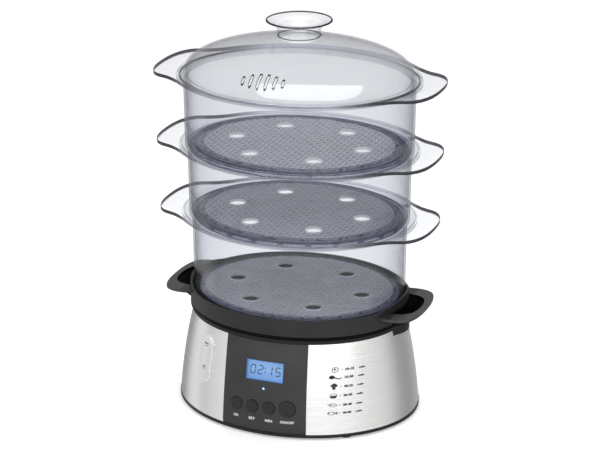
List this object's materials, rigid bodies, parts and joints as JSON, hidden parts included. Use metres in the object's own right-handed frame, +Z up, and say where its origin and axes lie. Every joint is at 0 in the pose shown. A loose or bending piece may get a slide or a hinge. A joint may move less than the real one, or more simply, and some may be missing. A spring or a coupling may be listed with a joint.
{
  "type": "food steamer",
  "caption": "Electric food steamer: oval steel base with timer panel and water gauge, drip tray with refill scoops, stacked clear bowls with lift-out floors, and a clear domed lid.",
  "frame": {"origin": "middle of the footprint, on the plane that the rubber feet stand on", "axes": "+Z up, -Y towards the timer panel at the front, +X to the right as seen from the front, along the oval's long axis through the handles"},
  "size_m": [0.307, 0.224, 0.42],
  "materials": {
    "brushed_steel_skin": "horizontal brushed",
    "black_abs": "fine grain",
    "foot_rubber": "matt",
    "zinc_screw": "zinc plated",
    "tank_black": "smooth",
    "heater_steel": "satin",
    "silicone": "matt",
    "element_sheath": "dull",
    "thermostat_can": "pressed",
    "panel_charcoal": "satin",
    "lcd_clear": "polished",
    "lcd_blue": "backlit",
    "lamp_clear": "polished",
    "lamp_blue": "lit",
    "board_green": "solder mask",
    "switch_black": "smooth",
    "gauge_clear": "polished",
    "float_pale": "smooth",
    "chamber_pale": "smooth",
    "relay_blue": "moulded",
    "capacitor_yellow": "moulded",
    "terminal_green": "moulded",
    "lead_insulation": "braided glass sleeve",
    "ribbon_grey": "ribbed",
    "gland_rubber": "matt",
    "steam_ring_black": "smooth",
    "tray_black": "satin",
    "clear_smoke": "polished",
    "button_black": "satin",
    "floor_grey": "translucent smoke"
  },
  "bodies": {
    "base": {"steel_skin": "brushed_steel_skin", "housing_left": "black_abs", "housing_right": "black_abs", "housing_front": "black_abs", "housing_rear": "black_abs", "deck_front": "black_abs", "deck_rear": "black_abs", "base_bottom": "black_abs", "rubber_feet": "foot_rubber", "bottom_screws": "zinc_screw", "water_tank": "tank_black", "heater_plate": "heater_steel", "heater_seal": "silicone", "heater_nuts": "zinc_screw", "heating_element": "element_sheath", "thermostat": "thermostat_can", "thermal_fuse": "thermostat_can", "control_panel": "panel_charcoal", "lcd_window": "lcd_clear", "lcd_module": "lcd_blue", "indicator_lens": "lamp_clear", "indicator_led": "lamp_blue", "control_board": "board_green", "control_board_screws": "zinc_screw", "tact_switches": "switch_black", "gauge_window": "gauge_clear", "gauge_chamber": "chamber_pale", "power_board": "board_green", "power_board_screws": "zinc_screw", "relay": "relay_blue", "capacitor": "capacitor_yellow", "terminal_block": "terminal_green", "heater_leads": "lead_insulation", "board_ribbon": "ribbon_grey", "cable_gland": "gland_rubber"},
    "steam_ring": {"steam_ring": "steam_ring_black"},
    "gauge_float": {"gauge_float": "float_pale"},
    "button_hour": {"button_hour": "button_black"},
    "button_set": {"button_set": "button_black"},
    "button_minute": {"button_minute": "button_black"},
    "button_on_off": {"button_on_off": "button_black"},
    "drip_tray": {"drip_tray": "tray_black", "rim_front": "tray_black", "rim_rear": "tray_black", "collar_left": "tray_black", "collar_right": "tray_black"},
    "bowl_1": {"bowl_1": "clear_smoke", "flange_1": "clear_smoke"},
    "floor_1": {"floor_1": "floor_grey"},
    "bowl_2": {"bowl_2": "clear_smoke", "flange_2": "clear_smoke"},
    "floor_2": {"floor_2": "floor_grey"},
    "bowl_3": {"bowl_3": "clear_smoke", "flange_3": "clear_smoke"},
    "floor_3": {"floor_3": "floor_grey"},
    "lid": {"lid_dome": "clear_smoke", "lid_knob": "clear_smoke"}
  },
  "joints": [
    {"name": "steam_ring_lift", "type": "slide", "parent": "base", "child": "steam_ring", "axis": [0, 0, 1], "range_m": [0, 0.006]},
    {"name": "float_rise", "type": "slide", "parent": "base", "child": "gauge_float", "axis": [0.0821, 0.1325, 0.9878], "range_m": [0, 0.033]},
    {"name": "press_hour", "type": "slide", "parent": "base", "child": "button_hour", "axis": [0, 0.9903, -0.1392], "range_m": [0, 0.0009], "stiffness_N_per_m": 400},
    {"name": "press_set", "type": "slide", "parent": "base", "child": "button_set", "axis": [0, 0.9903, -0.1392], "range_m": [0, 0.0009], "stiffness_N_per_m": 400},
    {"name": "press_minute", "type": "slide", "parent": "base", "child": "button_minute", "axis": [0, 0.9903, -0.1392], "range_m": [0, 0.0009], "stiffness_N_per_m": 400},
    {"name": "press_on_off", "type": "slide", "parent": "base", "child": "button_on_off", "axis": [0, 0.9903, -0.1392], "range_m": [0, 0.0009], "stiffness_N_per_m": 400},
    {"name": "drip_tray_lift", "type": "slide", "parent": "base", "child": "drip_tray", "axis": [0, 0, 1], "range_m": [0, 0.06]},
    {"name": "bowl_1_lift", "type": "slide", "parent": "drip_tray", "child": "bowl_1", "axis": [0, 0, 1], "range_m": [0, 0.06]},
    {"name": "floor_1_lift", "type": "slide", "parent": "bowl_1", "child": "floor_1", "axis": [0, 0, 1], "range_m": [0, 0.05]},
    {"name": "bowl_2_lift", "type": "slide", "parent": "bowl_1", "child": "bowl_2", "axis": [0, 0, 1], "range_m": [0, 0.06]},
    {"name": "floor_2_lift", "type": "slide", "parent": "bowl_2", "child": "floor_2", "axis": [0, 0, 1], "range_m": [0, 0.05]},
    {"name": "bowl_3_lift", "type": "slide", "parent": "bowl_2", "child": "bowl_3", "axis": [0, 0, 1], "range_m": [0, 0.06]},
    {"name": "floor_3_lift", "type": "slide", "parent": "bowl_3", "child": "floor_3", "axis": [0, 0, 1], "range_m": [0, 0.05]},
    {"name": "lid_lift", "type": "slide", "parent": "bowl_3", "child": "lid", "axis": [0, 0, 1], "range_m": [0, 0.06]}
  ]
}
